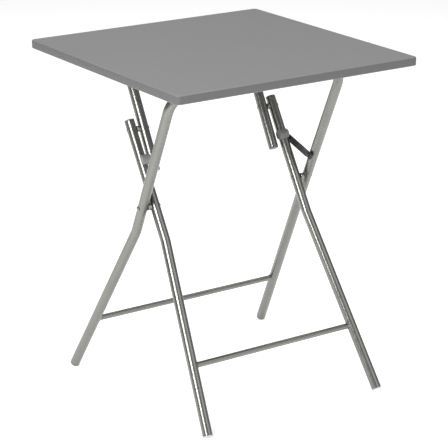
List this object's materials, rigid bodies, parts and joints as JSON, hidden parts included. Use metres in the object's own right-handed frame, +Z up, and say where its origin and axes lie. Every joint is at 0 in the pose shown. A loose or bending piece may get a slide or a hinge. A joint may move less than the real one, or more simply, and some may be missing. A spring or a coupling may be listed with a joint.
{
  "type": "folding tray table",
  "caption": "Square tray table on two crossing bent-tube leg frames, with a folding prop frame and a side hook that locks the legs open.",
  "frame": {"origin": "on the floor under the middle of the top", "axes": "+X along the crossbars towards the hook side, +Y from the front to the back, +Z up"},
  "size_m": [0.6, 0.6, 0.75],
  "materials": {
    "top_grey": "matte grey lacquer on board",
    "frame_paint": "satin silver-grey paint on steel tube",
    "foot_plastic": "moulded grey plastic",
    "light_plastic": "moulded pale plastic",
    "spacer_steel": "plated steel",
    "boss_plastic": "moulded grey plastic",
    "saddle_plastic": "moulded dark plastic",
    "rivet_steel": "plated steel",
    "hook_steel": "dark painted sheet steel"
  },
  "bodies": {
    "outer_frame": {"outer_leg_frame": "frame_paint", "outer_crossbar": "frame_paint", "outer_foot_cap_l": "foot_plastic", "outer_foot_cap_r": "foot_plastic", "cross_rivet_l": "rivet_steel", "cross_rivet_r": "rivet_steel", "cross_spacer_l": "spacer_steel", "cross_spacer_r": "spacer_steel", "lock_stud": "hook_steel"},
    "inner_frame": {"inner_leg_l": "frame_paint", "inner_leg_r": "frame_paint", "inner_crossbar": "frame_paint", "inner_foot_cap_l": "light_plastic", "inner_foot_cap_r": "light_plastic", "inner_top_cap_l": "foot_plastic", "inner_top_cap_r": "foot_plastic", "prop_pin_l": "rivet_steel", "prop_pin_r": "rivet_steel", "prop_spacer_l": "spacer_steel", "prop_spacer_r": "spacer_steel", "rest_boss_l": "boss_plastic", "rest_boss_r": "boss_plastic", "rest_boss_pin_l": "rivet_steel", "rest_boss_pin_r": "rivet_steel", "hook_rivet": "rivet_steel"},
    "prop_frame": {"prop_frame": "frame_paint", "prop_end_cap_l": "foot_plastic", "prop_end_cap_r": "foot_plastic", "prop_pin_head_l": "rivet_steel", "prop_pin_head_r": "rivet_steel"},
    "tabletop": {"tabletop_panel": "top_grey", "saddle_front_l": "saddle_plastic", "saddle_front_r": "saddle_plastic", "saddle_rear_l": "saddle_plastic", "saddle_rear_r": "saddle_plastic", "saddle_screw_front_l_a": "rivet_steel", "saddle_screw_front_l_b": "rivet_steel", "saddle_screw_front_r_a": "rivet_steel", "saddle_screw_front_r_b": "rivet_steel", "saddle_screw_rear_l_a": "rivet_steel", "saddle_screw_rear_l_b": "rivet_steel", "saddle_screw_rear_r_a": "rivet_steel", "saddle_screw_rear_r_b": "rivet_steel"},
    "lock_hook": {"lock_hook": "hook_steel"}
  },
  "joints": [
    {"name": "legs_fold", "type": "hinge", "parent": "outer_frame", "child": "inner_frame", "pos_m": [0, -0.0265, 0.435], "axis": [1, 0, 0], "range_deg": [0, 52.9]},
    {"name": "top_fold", "type": "hinge", "parent": "outer_frame", "child": "tabletop", "pos_m": [0, -0.15419, 0.7165], "axis": [1, 0, 0], "range_deg": [-58.1, 0]},
    {"name": "prop_fold", "type": "hinge", "parent": "tabletop", "child": "prop_frame", "pos_m": [0, 0.13618, 0.7165], "axis": [1, 0, 0], "range_deg": [-58.4, 0]},
    {"name": "hook_swing", "type": "hinge", "parent": "inner_frame", "child": "lock_hook", "pos_m": [0.201, 0.0217, 0.51335], "axis": [1, 0, 0], "range_deg": [-136.1, 0]}
  ],
  "couplings": [
    {"joint": "top_fold", "follows": "legs_fold", "ratio": -1.0964},
    {"joint": "prop_fold", "follows": "legs_fold", "ratio": -1.1036},
    {"joint": "hook_swing", "follows": "legs_fold", "ratio": -2.5709}
  ]
}
